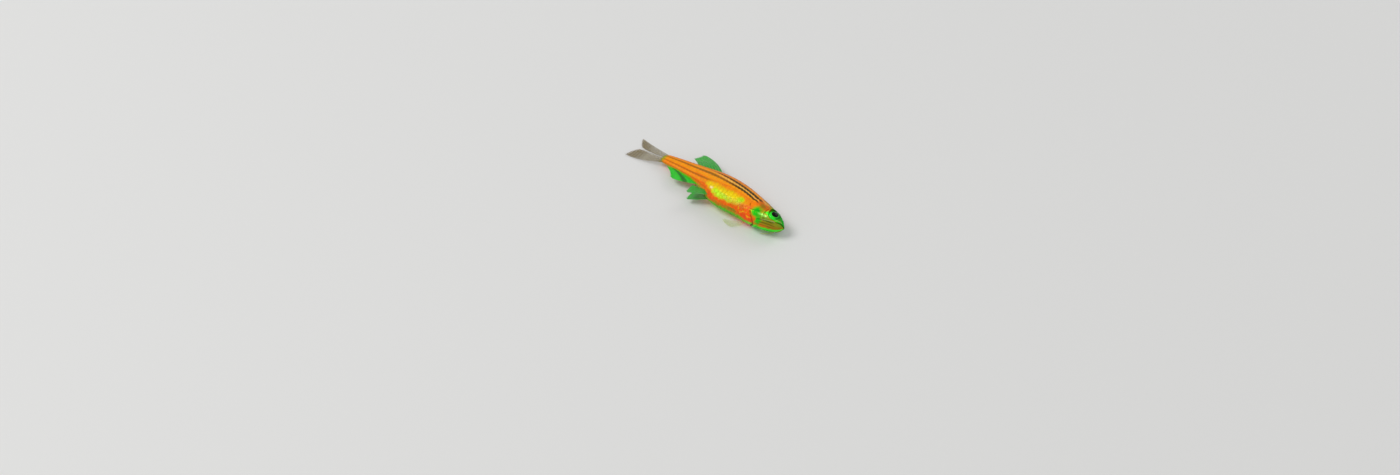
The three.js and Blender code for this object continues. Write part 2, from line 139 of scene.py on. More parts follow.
def hump(x, facts):  # facts are its height, middle and width
    return facts[0] * math.exp(-((x - facts[1]) / facts[2]) ** 2)


def endRound(s):
    nose = clamp(1 - s / fish["noseRound"])
    tail = clamp((s - length + fish["tailRound"]) / fish["tailRound"])
    return math.sqrt(max(0, 1 - nose * nose)) * math.sqrt(max(0, 1 - tail * tail))


def middleHeight(s):  # the middle plane's height: level, then the tail sags to the floor
    t = clamp((s / length - fish["sagStart"]) / (1 - fish["sagStart"]))
    flesh = fish["axisHeight"] - fish["tailSag"] * t ** fish["sagPower"]
    past = clamp((s - length) / share(fish["finSag"]))
    return flesh - (flesh - fish["finTipHeight"]) * past * (2 - past)


def toScene(s, y, z):  # s back from the snout, y to the back, z to the right flank
    height = max(fish["floorGap"], middleHeight(s) + z)
    return Vector((fish["restStation"] - s, y, height)) / 1000


gillCheek = {  # the swelling over the gills, in shares of the length
    "rise": 0.004, "starts": (0.12, 0.2), "ends": (0.235, 0.262), "middle": -0.02, "height": (0.03, 0.08),
}


def gillSwell(s, y):
    along = smoothOver(s, gillCheek["starts"]) * (1 - smoothOver(s, gillCheek["ends"]))
    across = 1 - smoothOver(abs(y - share(gillCheek["middle"])), gillCheek["height"])
    return share(gillCheek["rise"]) * along * across


def flankReach(s, y, w, extra=0.0):  # w is 1 where the body is widest, 0 on the back and belly
    skull = mix(fish["skullKeel"], 1, smoothOver(s, fish["skullEnd"]))
    keel = skull if y > widestLine(s) else mix(1, fish["tailKeel"], smoothOver(s, fish["keelGrows"]))
    away = math.hypot(s - eye["s"], y - eye["y"]) / (fish["browSpread"] * eye["radius"])
    swell = fish["browRise"] * math.exp(-away * away) * smooth(w, 0, fish["browEdge"])
    width = (halfWidth(s) + gillSwell(s, y)) * endRound(s) + extra
    return width * w ** keel + swell


def bodyPoint(s, turn, extra=0.0):  # turn 0 is the back, a quarter the right flank, a half the belly
    c, w = math.cos(turn * 2 * math.pi), math.sin(turn * 2 * math.pi)
    rounding = endRound(s)
    middle = widestLine(s)
    reach = backLine(s) - middle if c > 0 else middle - bellyLine(s)
    lift = fish["mouthTip"] if s < fish["noseRound"] else share(fish["tailMiddle"])
    y = middle * rounding + lift * (1 - rounding) + (reach * rounding + extra) * c
    return s, y, math.copysign(flankReach(s, middle + c * reach, abs(w), extra), w)


def flankAt(s, y):  # half the body's thickness at a place of the side view
    middle = widestLine(s)
    reach = backLine(s) - middle if y > middle else middle - bellyLine(s)
    part = abs(y - middle) / (reach * endRound(s) + 1e-6)
    return 0.0 if part >= 1 else flankReach(s, y, math.sqrt(1 - part * part))


def distanceTo(line, s, y):  # from a place of the side view to a line of points, and the share along it
    best, where = 1e9, 0.0
    for i, ((s0, y0), (s1, y1)) in enumerate(zip(line, line[1:])):
        ds, dy = s1 - s0, y1 - y0
        t = clamp(((s - s0) * ds + (y - y0) * dy) / (ds * ds + dy * dy))
        gap = math.hypot(s - s0 - t * ds, y - y0 - t * dy)
        if gap < best:
            best, where = gap, (i + t) / (len(line) - 1)
    return best, where


def curveThrough(pairs, count):  # samples of a smooth line through shares of the length
    points = [Vector((share(a), share(b))) for a, b in pairs]
    ends = [points[0] * 2 - points[1]] + points + [points[-1] * 2 - points[-2]]
    line = []
    for i in range(count):
        t = i / (count - 1) * (len(points) - 1)
        k = min(int(t), len(points) - 2)
        t -= k
        p0, p1, p2, p3 = ends[k:k + 4]
        point = 0.5 * (2 * p1 + (p2 - p0) * t + (2 * p0 - 5 * p1 + 4 * p2 - p3) * t * t
                       + (3 * p1 - p0 - 3 * p2 + p3) * t ** 3)
        line.append((point.x, point.y))
    return line


def addObject(name, data):
    thing = bpy.data.objects.new(name, data)
    bpy.context.scene.collection.objects.link(thing)
    return thing


def meshObject(name, bm, material):
    mesh = bpy.data.meshes.new(name)
    bm.to_mesh(mesh)
    bm.free()
    mesh.materials.append(material)
    return addObject(name, mesh)


def makeObject(name, bm, material, nodes=()):
    piece = meshObject(name, bm, material)
    for face in piece.data.polygons:
        face.use_smooth = True
    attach(piece, "root")
    if nodes:
        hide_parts(*nodes)
    return piece


def addNode(tree, kind, **settings):
    node = tree.nodes.new("ShaderNode" + kind)
    for key, value in settings.items():
        if key[0] == "_":
            node.inputs[int(key[1:])].default_value = value
        else:
            setattr(node, key, value)
    return node


def calc(tree, operation, *values, clampIt=False):
    node = addNode(tree, "Math", operation=operation, use_clamp=clampIt)
    for socket, value in zip(node.inputs, values):
        if isinstance(value, (int, float)):
            socket.default_value = value
        else:
            tree.links.new(value, socket)
    return node.outputs[0]


def ramp(tree, value, stops, mode="EASE"):
    node = addNode(tree, "ValToRGB")
    node.color_ramp.interpolation = mode
    elements = node.color_ramp.elements
    while len(elements) < len(stops):
        elements.new(0.5)
    for element, (place, colour) in zip(elements, stops):
        element.position = place
        element.color = (*colour, 1) if len(colour) == 3 else colour
    tree.links.new(value, node.inputs[0])
    return node.outputs[0]


def fade(tree, value, low, high):  # 0 at low, 1 at high, smooth between them
    start, end = (1.0, 0.0) if low > high else (0.0, 1.0)
    low, high = min(low, high), max(low, high)
    node = addNode(tree, "MapRange", interpolation_type="SMOOTHSTEP", _1=low, _2=high, _3=start, _4=end)
    tree.links.new(value, node.inputs[0])
    return node.outputs[0]


def curveOf(tree, value, points):
    node = addNode(tree, "FloatCurve")
    curve = node.mapping.curves[0]
    while len(curve.points) < len(points):
        curve.points.new(0.5, 0.5)
    for point, place in zip(curve.points, points):
        point.location = place
        point.handle_type = "AUTO_CLAMPED"
    node.mapping.update()
    tree.links.new(value, node.inputs[1])
    return node.outputs[0]


def blend(tree, mask, under, over, mode="MIX"):
    node = addNode(tree, "Mix", data_type="RGBA", blend_type=mode)
    tree.links.new(mask, node.inputs[0])
    for socket, colour in ((node.inputs[6], under), (node.inputs[7], over)):
        if isinstance(colour, tuple):
            socket.default_value = (*colour, 1)
        else:
            tree.links.new(colour, socket)
    return node.outputs[2]


def noiseOf(tree, coordinates, scale, detail=3.0, roughness=0.55, stretch=None):
    if stretch:
        mapping = addNode(tree, "Mapping")
        mapping.inputs[3].default_value = stretch
        tree.links.new(coordinates, mapping.inputs[0])
        coordinates = mapping.outputs[0]
    node = addNode(tree, "TexNoise")
    for name, value in (("Scale", scale), ("Detail", detail), ("Roughness", roughness)):
        node.inputs[name].default_value = value
    tree.links.new(coordinates, node.inputs["Vector"])
    return node.outputs[0]


def newMaterial(name, **values):
    material = bpy.data.materials.new(name)
    material.use_nodes = True
    tree = material.node_tree
    shader = tree.nodes["Principled BSDF"]
    for key, value in values.items():
        label = {
            "roughness": "Roughness", "coat": "Coat Weight", "coatRoughness": "Coat Roughness",
            "specular": "Specular IOR Level", "glow": "Emission Strength", "colour": "Base Color",
        }[key]
        shader.inputs[label].default_value = value
    return material, tree, shader


def bumpFrom(tree, shader, height, strength, distance):
    node = addNode(tree, "Bump")
    node.inputs["Strength"].default_value = strength
    node.inputs["Distance"].default_value = distance
    tree.links.new(height, node.inputs["Height"])
    tree.links.new(node.outputs[0], shader.inputs["Normal"])


hue = {
    "orange": (1.0, 0.26, 0.002),
    "lightOrange": (1.0, 0.36, 0.003),
    "tan": (0.95, 0.55, 0.1),
    "deepOrange": (0.92, 0.12, 0.003),
    "amber": (1.0, 0.46, 0.003),
    "redOrange": (0.86, 0.06, 0.008),
    "headRed": (0.62, 0.13, 0.004),
    "yellow": (0.92, 0.7, 0.0),
    "lime": (0.4, 0.86, 0.004),
    "olive": (0.25, 0.17, 0.006),
    "brown": (0.42, 0.115, 0.002),
    "umber": (0.28, 0.13, 0.002),
    "rust": (0.6, 0.24, 0.01),
    "dark": (0.012, 0.026, 0.004),
    "green": (0.008, 0.6, 0.008),
    "brightGreen": (0.02, 0.9, 0.02),
    "deepGreen": (0.01, 0.24, 0.015),
    "snoutGreen": (0.008, 0.4, 0.01),
    "paleGreen": (0.4, 0.95, 0.16),
    "finShade": (0.005, 0.16, 0.01),
    "eyeShade": (0.006, 0.09, 0.008),
    "eyeGlint": (0.03, 0.95, 0.03),
    "throat": (0.3, 0.24, 0.002),
    "moss": (0.14, 0.34, 0.004),
    "creaseShade": (0.03, 0.035, 0.004),
    # the pale colour of a painted highlight on the belly
    "paintedHighlight": (1.0, 0.8, 0.45),
}


# Each stripe runs along the flank: its colour, then its centre and half width as shares of the way from
# back to belly and its strength, each given at places along the fish.
stripes = {
    "backEdge": ("lightOrange", [(0, 0.26), (0.2, 0.275), (0.4, 0.25), (1, 0.25)], [(0, 0.03), (1, 0.03)],
        [(0.21, 0), (0.25, 0.75), (0.4, 0.35), (0.6, 0)]),
    "upperDark": ("dark", [(0.18, 0.39), (0.21, 0.375), (0.28, 0.335), (0.38, 0.316), (0.6, 0.3), (1, 0.3)],
        [(0.18, 0.018), (0.22, 0.032), (0.3, 0.03), (0.5, 0.024), (0.65, 0.014)],
        [(0.19, 0), (0.205, 1), (0.5, 0.95), (0.58, 0.65), (0.68, 0.18), (0.8, 0)]),
    "upperLight": ("tan",
        [(0.17, 0.48), (0.2, 0.455), (0.25, 0.412), (0.32, 0.378), (0.5, 0.36), (0.7, 0.34)],
        [(0.17, 0.012), (0.4, 0.017), (0.7, 0.02)],
        [(0.17, 0), (0.2, 1), (0.5, 0.95), (0.6, 0.6), (0.72, 0)]),
    "upperRear": ("lightOrange", [(0.5, 0.355), (0.6, 0.345), (0.7, 0.335), (1, 0.335)],
        [(0.5, 0.018), (0.7, 0.03), (1, 0.03)], [(0.52, 0), (0.64, 0.85), (1, 0.7)]),
    "middleDark": ("dark",
        [(0.2, 0.475), (0.25, 0.445), (0.3, 0.415), (0.37, 0.402), (0.5, 0.408), (1, 0.42)],
        [(0.2, 0.012), (0.28, 0.024), (0.5, 0.022), (1, 0.02)],
        [(0.205, 0), (0.225, 0.95), (0.38, 0.95), (0.5, 0.6), (0.62, 0.3), (0.75, 0)]),
    "middleRear": ("umber", [(0.42, 0.405), (0.5, 0.41), (0.7, 0.42), (1, 0.425)],
        [(0.42, 0.018), (0.6, 0.034), (1, 0.036)], [(0.42, 0), (0.52, 0.6), (0.62, 0.9), (1, 0.7)]),
    "middleLight": ("lightOrange",
        [(0.22, 0.5), (0.3, 0.465), (0.4, 0.447), (0.5, 0.458), (0.6, 0.495), (0.72, 0.53), (1, 0.54)],
        [(0.2, 0.014), (0.45, 0.02), (0.6, 0.04), (0.75, 0.05), (1, 0.055)],
        [(0.22, 0), (0.26, 0.9), (1, 0.9)]),
    "lowerBrown": ("brown",
        [(0.46, 0.5), (0.55, 0.555), (0.62, 0.615), (0.7, 0.65), (0.85, 0.665), (1, 0.65)],
        [(0.45, 0.012), (0.6, 0.028), (0.8, 0.03), (1, 0.03)],
        [(0.44, 0), (0.54, 0.65), (0.66, 0.85), (0.85, 0.75), (1, 0.5)]),
    "lowerLight": ("lightOrange", [(0.5, 0.64), (0.6, 0.69), (0.7, 0.75), (1, 0.76)],
        [(0.5, 0.02), (0.7, 0.05), (1, 0.055)], [(0.54, 0), (0.62, 0.7), (1, 0.6)]),
    "lowestBrown": ("brown", [(0.55, 0.79), (0.65, 0.84), (0.8, 0.85), (1, 0.84)], [(0.5, 0.012), (1, 0.022)],
        [(0.56, 0), (0.66, 0.5), (0.9, 0.4), (1, 0)]),
}

# Each patch is an oval on that same map: its middle, half sizes along and down, how soft its edge is and
# how strong it is. One past 1 lies on the left side only. The last number turns it silvery.
patches = {
    "aboveBelly": ("lightOrange", (0.42, 0.56), (0.15, 0.06), 0.6, 0.8, 0),
    "belly": ("yellow", (0.42, 0.665), (0.14, 0.115), 0.4, 1.0, 0.25),
    "bellyRear": ("yellow", (0.55, 0.66), (0.035, 0.07), 0.6, 0.75, 0),
    "bellyMiddle": ("lime", (0.445, 0.735), (0.075, 0.055), 0.6, 0.8, 0),
    "bellySpot": ("lime", (0.492, 0.69), (0.022, 0.05), 0.6, 0.7, 0),
    "bellyFront": ("lime", (0.312, 0.62), (0.022, 0.055), 0.6, 0.9, 0),
    "chest": ("deepOrange", (0.245, 0.82), (0.075, 0.17), 0.4, 0.9, 0),
    "chestLow": ("redOrange", (0.225, 0.94), (0.075, 0.09), 0.5, 0.85, 0),
    "chestRear": ("redOrange", (0.505, 0.87), (0.035, 0.1), 0.5, 0.8, 0),
    "bellyBand": ("deepOrange", (0.4, 0.84), (0.12, 0.04), 0.7, 0.7, 0),
    "bellyMottle": ("olive", (0.4, 0.93), (0.1, 0.05), 0.7, 0.5, 0),
    # Its silvery finish is its own; its green is painted reflection of green light.
    "bellyEdge": ("green", (0.38, 1.09), (0.2, 0.11), 0.5, 0.9, 0.4),
    "tailEdge": ("green", (0.78, 0.98), (0.13, 0.1), 0.5, 0.85, 0),
    "tailEnd": ("snoutGreen", (1.0, 0.5), (0.03, 0.6), 0.6, 0.7, 0),
    "flankGreen": ("deepGreen", (0.335, 0.9), (0.03, 0.035), 0.6, 0.7, 0),
    "headTop": ("headRed", (0.165, 0.46), (0.052, 0.12), 0.35, 0.95, 0),
    "headOlive": ("olive", (0.17, 0.47), (0.02, 0.055), 0.7, 0.8, 0),
    "napeGlow": ("tan", (0.175, 0.33), (0.03, 0.035), 0.7, 0.7, 0),
    "headBack": ("olive", (0.15, 0.12), (0.09, 0.2), 0.5, 0.8, 0),
    "throat": ("throat", (0.055, 0.88), (0.1, 0.24), 0.35, 1.0, 0),
    "throatGlow": ("deepOrange", (0.12, 0.93), (0.045, 0.045), 0.8, 0.6, 0),
    "jawGlow": ("brown", (0.03, 0.9), (0.045, 0.05), 0.8, 0.6, 0),
    # Its silvery finish is its own; its green is painted reflection of green light.
    "throatEdge": ("brightGreen", (0.08, 1.12), (0.15, 0.125), 0.35, 0.95, 0.3),
    "snout": ("snoutGreen", (0.0, 0.32), (0.075, 0.4), 0.4, 1.0, 0.1),
    "brow": ("snoutGreen", (0.07, 0.3), (0.065, 0.17), 0.35, 0.95, 0.1),
    # The gill cover's silvery finish is its own; its green is painted reflection of green light.
    "gillRear": ("green", (0.176, 0.68), (0.034, 0.13), 0.45, 1.0, 0.6),
    "gillLow": ("green", (0.147, 0.84), (0.018, 0.13), 0.5, 0.95, 0.6),
    "cheekLow": ("moss", (0.115, 0.71), (0.045, 0.06), 0.6, 0.85, 0),
    # The cheek's silvery finish is its own; its green is painted reflection of green light.
    "cheek": ("brightGreen", (0.085, 0.575), (0.056, 0.068), 0.35, 1.0, 0.6),
    # A painted highlight: a small pale glint spot on the belly's rear edge.
    "paintedHighlight": ("paintedHighlight", (0.535, 0.7), (0.011, 0.028), 0.7, 0.9, 0.5),
    # A painted highlight: pale glints on the gill cover; its silvery finish is its own.
    "gillPaintedHighlight": ("paleGreen", (0.14, 0.665), (0.022, 0.03), 0.7, 0.9, 0.8),
}
texture = {
    "edgeWobble": (0.15, 0.05),  # how far patches and stripes stray, down the flank and along it
    "scaleStep": 0.0242,  # one column of scales, as a share of the length
    "stripeNotch": 0.003,  # stripes step from scale to scale
    "stripeWobble": 0.009,
    "stripeEdge": (1.4, 0.6),  # in half widths of the stripe
    # scale, detail and roughness of each noise, and how it is stretched
    "mottle": (700, 4, 0.6), "wobble": (1500, 3, 0.65), "grain": (5200, 2, 0.6),
    "yellowSpots": (2300, 2, 0.5), "streak": (1.0, 3, 0.6, (14, 90, 1)),
    # scale of the cells, size of the spots and the share of the cells that have one
    # The second spots here are painted glints on the silvery patches.
    "dots": (7000, 0.3, 0.4), "paintedGlints": (11000, 0.34, 0.3),
    "spotEdge": 0.6, "spotSoft": 0.02, "paintedGlintStrength": 0.5,
}
flankRamp = [  # the ground colour from the back to the belly
    (0.0, "olive", 1.0), (0.14, "orange", 0.5), (0.26, "orange", 0.85), (0.36, "orange", 1.0),
    (0.6, "orange", 1.0), (0.8, "deepOrange", 1.0), (0.92, "rust", 1.0), (1.0, "green", 0.7),
]
# Each mark tints where a value is in its range: the range, the strength and the colour.
marks = {
    "mottleDeep": ((0.42, 0.7), 0.5, "deepOrange"), "mottleLight": ((0.5, 0.3), 0.35, "lightOrange"),
    "streakDeep": ((0.52, 0.7), 0.6, "deepOrange"), "streakLight": ((0.48, 0.3), 0.5, "amber"),
    "chevrons": ((0.2, 1.0), 0.16, "brown"), "yellowSpots": ((0.54, 0.64), 0.6, "yellow"),
    "darkDots": ((0.42, 0.2), 0.6, "dark"), "dim": ((0.5, 0.68), 0.55, "deepGreen"),
    "plateRim": ((0.8, 0.97), 0.16, "brown"), "platePale": ((0.55, 0.76), 0.08, "yellow"),
    "plateTone": ((0.55, 1.0), 0.15, "brown"),
    # Painted shade darkens the eye's top; a painted glint brightens the lower rim of its iris.
    "eyeTopShade": ((0.2, 0.75), 0.7, "eyeShade"), "eyeGlint": ((0.1, 0.6), 0.9, "eyeGlint"),
    "finBand": ((0.13, 0.05), 0.85, "finShade"), "finTip": ((0.75, 1.0), 1.0, "green"),
}


def product(tree, a, b):
    return calc(tree, "MULTIPLY", a, b)


def sine(tree, value, turns):
    return calc(tree, "SINE", product(tree, value, turns * 2 * math.pi))


def gapFrom(tree, value, middle):
    return calc(tree, "ABSOLUTE", calc(tree, "SUBTRACT", value, middle))


def radiusOf(tree, a, b):
    return calc(tree, "SQRT", calc(tree, "ADD", calc(tree, "POWER", a, 2), calc(tree, "POWER", b, 2)))


def mapOf(tree, name):  # a UV map's vector and its two coordinates
    pick = addNode(tree, "UVMap", uv_map=name)
    split = addNode(tree, "SeparateXYZ")
    tree.links.new(pick.outputs[0], split.inputs[0])
    return pick.outputs[0], split.outputs[0], split.outputs[1]


def attributeOf(tree, name):
    return addNode(tree, "Attribute", attribute_name=name).outputs["Fac"]


def placesOf(tree):
    return addNode(tree, "TexCoord").outputs["Object"]


def tint(tree, colour, mask, strength, over):
    return blend(tree, product(tree, mask, strength), colour, over)


def mark(tree, colour, name, value, within=1.0):
    span, strength, hueName = marks[name]
    return tint(tree, colour, product(tree, fade(tree, value, *span), within), strength, hue[hueName])


def shaded(colour, amount):
    return tuple(amount * channel for channel in colour)


def fishPattern(tree):  # the colour, how silvery it is, and the noise for the bumps
    surface, along, turn = mapOf(tree, "bodyMap")
    around = product(tree, turn, 2.0)  # 1 is the belly, over 1 the left flank
    down = gapFrom(tree, gapFrom(tree, around, 1.0), 1.0)
    places = placesOf(tree)
    mottle = noiseOf(tree, places, *texture["mottle"])
    wobble = noiseOf(tree, places, *texture["wobble"])
    grain = noiseOf(tree, places, *texture["grain"])
    streak = noiseOf(tree, surface, *texture["streak"])
    shake = calc(tree, "SUBTRACT", wobble, 0.5)
    steps = product(tree, sine(tree, along, 1 / texture["scaleStep"]), texture["stripeNotch"])
    strayDown, strayAlong = texture["edgeWobble"]
    downWavy = calc(tree, "ADD", down, product(tree, shake, strayDown))
    alongWavy = calc(tree, "ADD", along, product(tree, shake, strayAlong))
    aroundWavy = calc(tree, "ADD", around, product(tree, shake, strayDown))
    stripeWavy = calc(tree, "ADD", down, product(tree, shake, texture["stripeWobble"]))
    stripeDown = calc(tree, "ADD", stripeWavy, steps)
    colour = ramp(tree, downWavy, [(place, shaded(hue[name], amount)) for place, name, amount in flankRamp])
    for name, noise in (("mottle", mottle), ("streak", streak)):
        colour = mark(tree, mark(tree, colour, name + "Deep", noise), name + "Light", noise)
    for hueName, *curves in stripes.values():
        centre, half, strength = [curveOf(tree, along, points) for points in curves]
        away = calc(tree, "DIVIDE", gapFrom(tree, stripeDown, centre), half)
        colour = tint(tree, colour, fade(tree, away, *texture["stripeEdge"]), strength, hue[hueName])
    shine = None
    for hueName, at, size, edge, strength, silver in patches.values():
        reachAlong = calc(tree, "DIVIDE", calc(tree, "SUBTRACT", alongWavy, at[0]), size[0])
        across = aroundWavy if at[1] > 1 else downWavy
        reachDown = calc(tree, "DIVIDE", calc(tree, "SUBTRACT", across, at[1]), size[1])
        cover = fade(tree, radiusOf(tree, reachAlong, reachDown), 1 + edge, 1 - edge)
        colour = tint(tree, colour, cover, strength, hue[hueName])
        if silver:
            covered = product(tree, cover, silver)
            shine = covered if shine is None else calc(tree, "MAXIMUM", shine, covered)
    return colour, shine, places, along, down, grain, mottle


def flecks(tree, places, scale, size, part):  # small round spots, on a share of the cells
    cells = addNode(tree, "TexVoronoi")
    cells.inputs["Scale"].default_value = scale
    tree.links.new(places, cells.inputs["Vector"])
    chance = addNode(tree, "SeparateColor")
    tree.links.new(cells.outputs["Color"], chance.inputs[0])
    inside = fade(tree, cells.outputs["Distance"], size, size * texture["spotEdge"])
    return product(tree, inside, fade(tree, chance.outputs[0], 1 - part, 1 + texture["spotSoft"] - part))


skinFinish = {"roughness": 0.4, "specular": 0.12, "coat": 0.07, "coatRoughness": 0.12, "glow": 0.08}
skinLook = {
    "chevronSlant": 0.12, "chevronStart": (0.26, 0.4), "chest": ((0.25, 0.08, 0.04), (0.78, 0.17, 0.08)),
    "metal": 0.55, "roughness": (0.34, 0.16, 0.14), "bump": (0.35, 0.00003),
    "plateRear": (-0.2, 0.5), "plateBand": (0.92, 0.78), "rings": (9.0, 0.18),
}


def makeSkinPaint(name, forScales):
    paint, tree, shader = newMaterial(name, **skinFinish)
    colour, shine, places, along, down, grain, mottle = fishPattern(tree)
    slant = product(tree, gapFrom(tree, down, 0.5), skinLook["chevronSlant"])
    chevrons = sine(tree, calc(tree, "ADD", along, slant), 2 / texture["scaleStep"])
    colour = mark(tree, colour, "chevrons", chevrons, fade(tree, along, *skinLook["chevronStart"]))
    chest = 1.0
    for place, (middle, *span) in zip((along, down), skinLook["chest"]):
        chest = product(tree, fade(tree, gapFrom(tree, place, middle), *span), chest)
    colour = mark(tree, colour, "yellowSpots", noiseOf(tree, places, *texture["yellowSpots"]), chest)
    colour = mark(tree, colour, "darkDots", down, flecks(tree, places, *texture["dots"]))
    # Painted glints: small pale green sparkles on the silvery patches.
    paintedGlints = product(tree, flecks(tree, places, *texture["paintedGlints"]), shine)
    colour = tint(tree, colour, paintedGlints, texture["paintedGlintStrength"], hue["paleGreen"])
    colour = mark(tree, colour, "dim", mottle, shine)
    height = grain
    if forScales:
        plateAlong, plateAcross = mapOf(tree, "plateMap")[1:]
        radius = radiusOf(tree, plateAlong, plateAcross)
        rear = fade(tree, plateAlong, *skinLook["plateRear"])
        colour = mark(tree, colour, "plateRim", radius, rear)
        band = product(tree, fade(tree, radius, *skinLook["plateBand"]), rear)
        colour = mark(tree, colour, "platePale", radius, band)
        colour = mark(tree, colour, "plateTone", attributeOf(tree, "tone"))
        turns, rise = skinLook["rings"]
        height = calc(tree, "ADD", grain, product(tree, sine(tree, radius, turns), rise))
    else:
        # Painted shade darkens the creases, grooves, slits and pits.
        colour = blend(tree, attributeOf(tree, "creaseShade"), colour, hue["creaseShade"])
    tree.links.new(colour, shader.inputs["Base Color"])
    tree.links.new(colour, shader.inputs["Emission Color"])
    tree.links.new(product(tree, shine, skinLook["metal"]), shader.inputs["Metallic"])
    plain, fromGrain, fromShine = skinLook["roughness"]
    rough = calc(tree, "ADD", plain, product(tree, grain, fromGrain))
    rough = calc(tree, "SUBTRACT", rough, product(tree, shine, fromShine))
    tree.links.new(rough, shader.inputs["Roughness"])
    bumpFrom(tree, shader, height, *skinLook["bump"])
    return paint


skinPaint = makeSkinPaint("danioSkin", False)
scalePaint = makeSkinPaint("danioScales", True)
print("skin materials made")


skinFacts = {
    "rings": 440, "sides": 190, "inset": 0.05, "headShare": 0.5,  # more rings toward the head
    "weld": 2e-7, "reliefEnd": 0.3,  # the head's relief ends at this share of the length
    "lineReach": 0.5, "lineSoft": 0.01, "lipPlace": 2.1,  # the lip of a line, in its own widths
}
# Each fold, ridge, groove or painted-shade crease here is a height, a middle and a width; round the eye in eye
# radii.
lids = {
    "depth": 0.4, "edge": (1.02, 0.88), "reach": 2.2, "lidEdge": (0.86, 1.04), "lid": (1, 0, 0.3),
    "lidRise": 0.05, "lidHeight": (0.05, 0.5), "fold": (0.05, 1.12, 0.07), "creaseShade": (0.8, 1.01, 0.05),
}
# The head's lines: a path in shares of the length back from the snout and up from the axis, then how deep,
# wide and dark (painted shade) the groove is, how high its lip is, and the shares over which it fades in and
# out.
headLines = {
    "mouth": (
        [(-0.03, 0.012), (0.0, -0.004), (0.024, -0.014), (0.05, -0.032)], 0.14, 0.06, 1.0, 0.06, 0.0, 0.12,
    ),
    "jaw": ([(0.05, -0.032), (0.058, -0.042), (0.07, -0.062)], 0.07, 0.07, 0.4, 0.02, 0.0, 0.6),
    "cheek": (
        [(0.131, 0.03), (0.137, -0.012), (0.132, -0.045), (0.104, -0.07)], 0.08, 0.065, 0.45, 0.03, 0.2, 0.2,
    ),
    "plate": ([(0.14, -0.02), (0.19, -0.048), (0.222, -0.058)], 0.04, 0.06, 0.35, 0.01, 0.1, 0.1),
    "upperCheek": ([(0.118, 0.02), (0.15, 0.034), (0.185, 0.036)], 0.035, 0.06, 0.3, 0.01, 0.2, 0.2),
}
# The throat's folds, in shares of the length and of the way from back to belly, and how dark their painted
# shade is.
throatLines = {
    "upper": ([(0.04, 0.755), (0.085, 0.745), (0.12, 0.755), (0.165, 0.83)], 0.7),
    "middle": ([(0.022, 0.845), (0.065, 0.82), (0.11, 0.83), (0.155, 0.885)], 0.65),
    "lower": ([(0.03, 0.92), (0.08, 0.905), (0.13, 0.92), (0.17, 0.95)], 0.5),
}
folds = {"fade": 0.25, "groove": (0.035, 0, 0.06), "ridge": (0.012, 0.14, 0.06), "dark": (1, 0, 0.08)}
lineSamples = 12
headCurves = {name: curveThrough(facts[0], lineSamples) for name, facts in headLines.items()}
throatCurves = {
    name: [(s, v / length * fish["halfGirth"]) for s, v in curveThrough(facts[0], lineSamples)]
    for name, facts in throatLines.items()
}
gillLine = curveThrough([
    (0.19, 0.09), (0.206, 0.068), (0.232, 0.03), (0.245, -0.015), (0.23, -0.052), (0.196, -0.082),
    (0.155, -0.105), (0.12, -0.14),
], 26)
gillShape = {
    "top": (0.056, 0.036),  # the slit ends below the nape, between these shares of the length
    # The darkness along the gill opening's lip and slit is painted shade.
    "lip": (0.09, 0, 0.5), "lipShade": (0.5, 0, 0.05), "slit": (0.2, 0.05, 0.12), "slitShade": (0.95, 0, 0.11),
}
nostrils = {
    "at": (share(0.026), share(0.018), flankAt(share(0.026), share(0.018))),
    # The nostril's darkness is painted shade in its pit.
    "pit": (0.12, 0, 0.08), "rim": (0.04, 0.16, 0.05), "dark": (1, 0, 0.08),
}


def gillStation(y):  # where the gill opening lies at a height
    for (s0, y0), (s1, y1) in zip(gillLine, gillLine[1:]):
        if y >= y1:
            return mix(s0, s1, clamp((y - y0) / (y1 - y0)))
    return gillLine[-1][0]


def eyePlace(s, y, z):  # the distance from the eye's axis in eye radii, and the height of its rim there
    forward, up = eye["lean"]
    ds, dy, dz = s - eye["s"], y - eye["y"], z - eye["z"]
    height = (up * dy - forward * ds + dz) / math.sqrt(1 + forward * forward + up * up)
    away = math.sqrt(max(0.0, ds * ds + dy * dy + dz * dz - height * height))
    return away / eye["radius"], eye["z"] + forward * ds - up * dy


def socketShape(s, y, z):  # how far the skin moves sideways round an eye, to meet its rim with lids
    gap, rim = eyePlace(s, y, z)
    if gap > lids["reach"]:
        return 0.0
    inside, edge = lids["lidEdge"]
    lifted = (rim + lids["lidRise"] - z) * hump(max(0.0, gap - edge), lids["lid"])
    return lifted * smooth(gap, inside, edge) * smooth(z, *lids["lidHeight"])


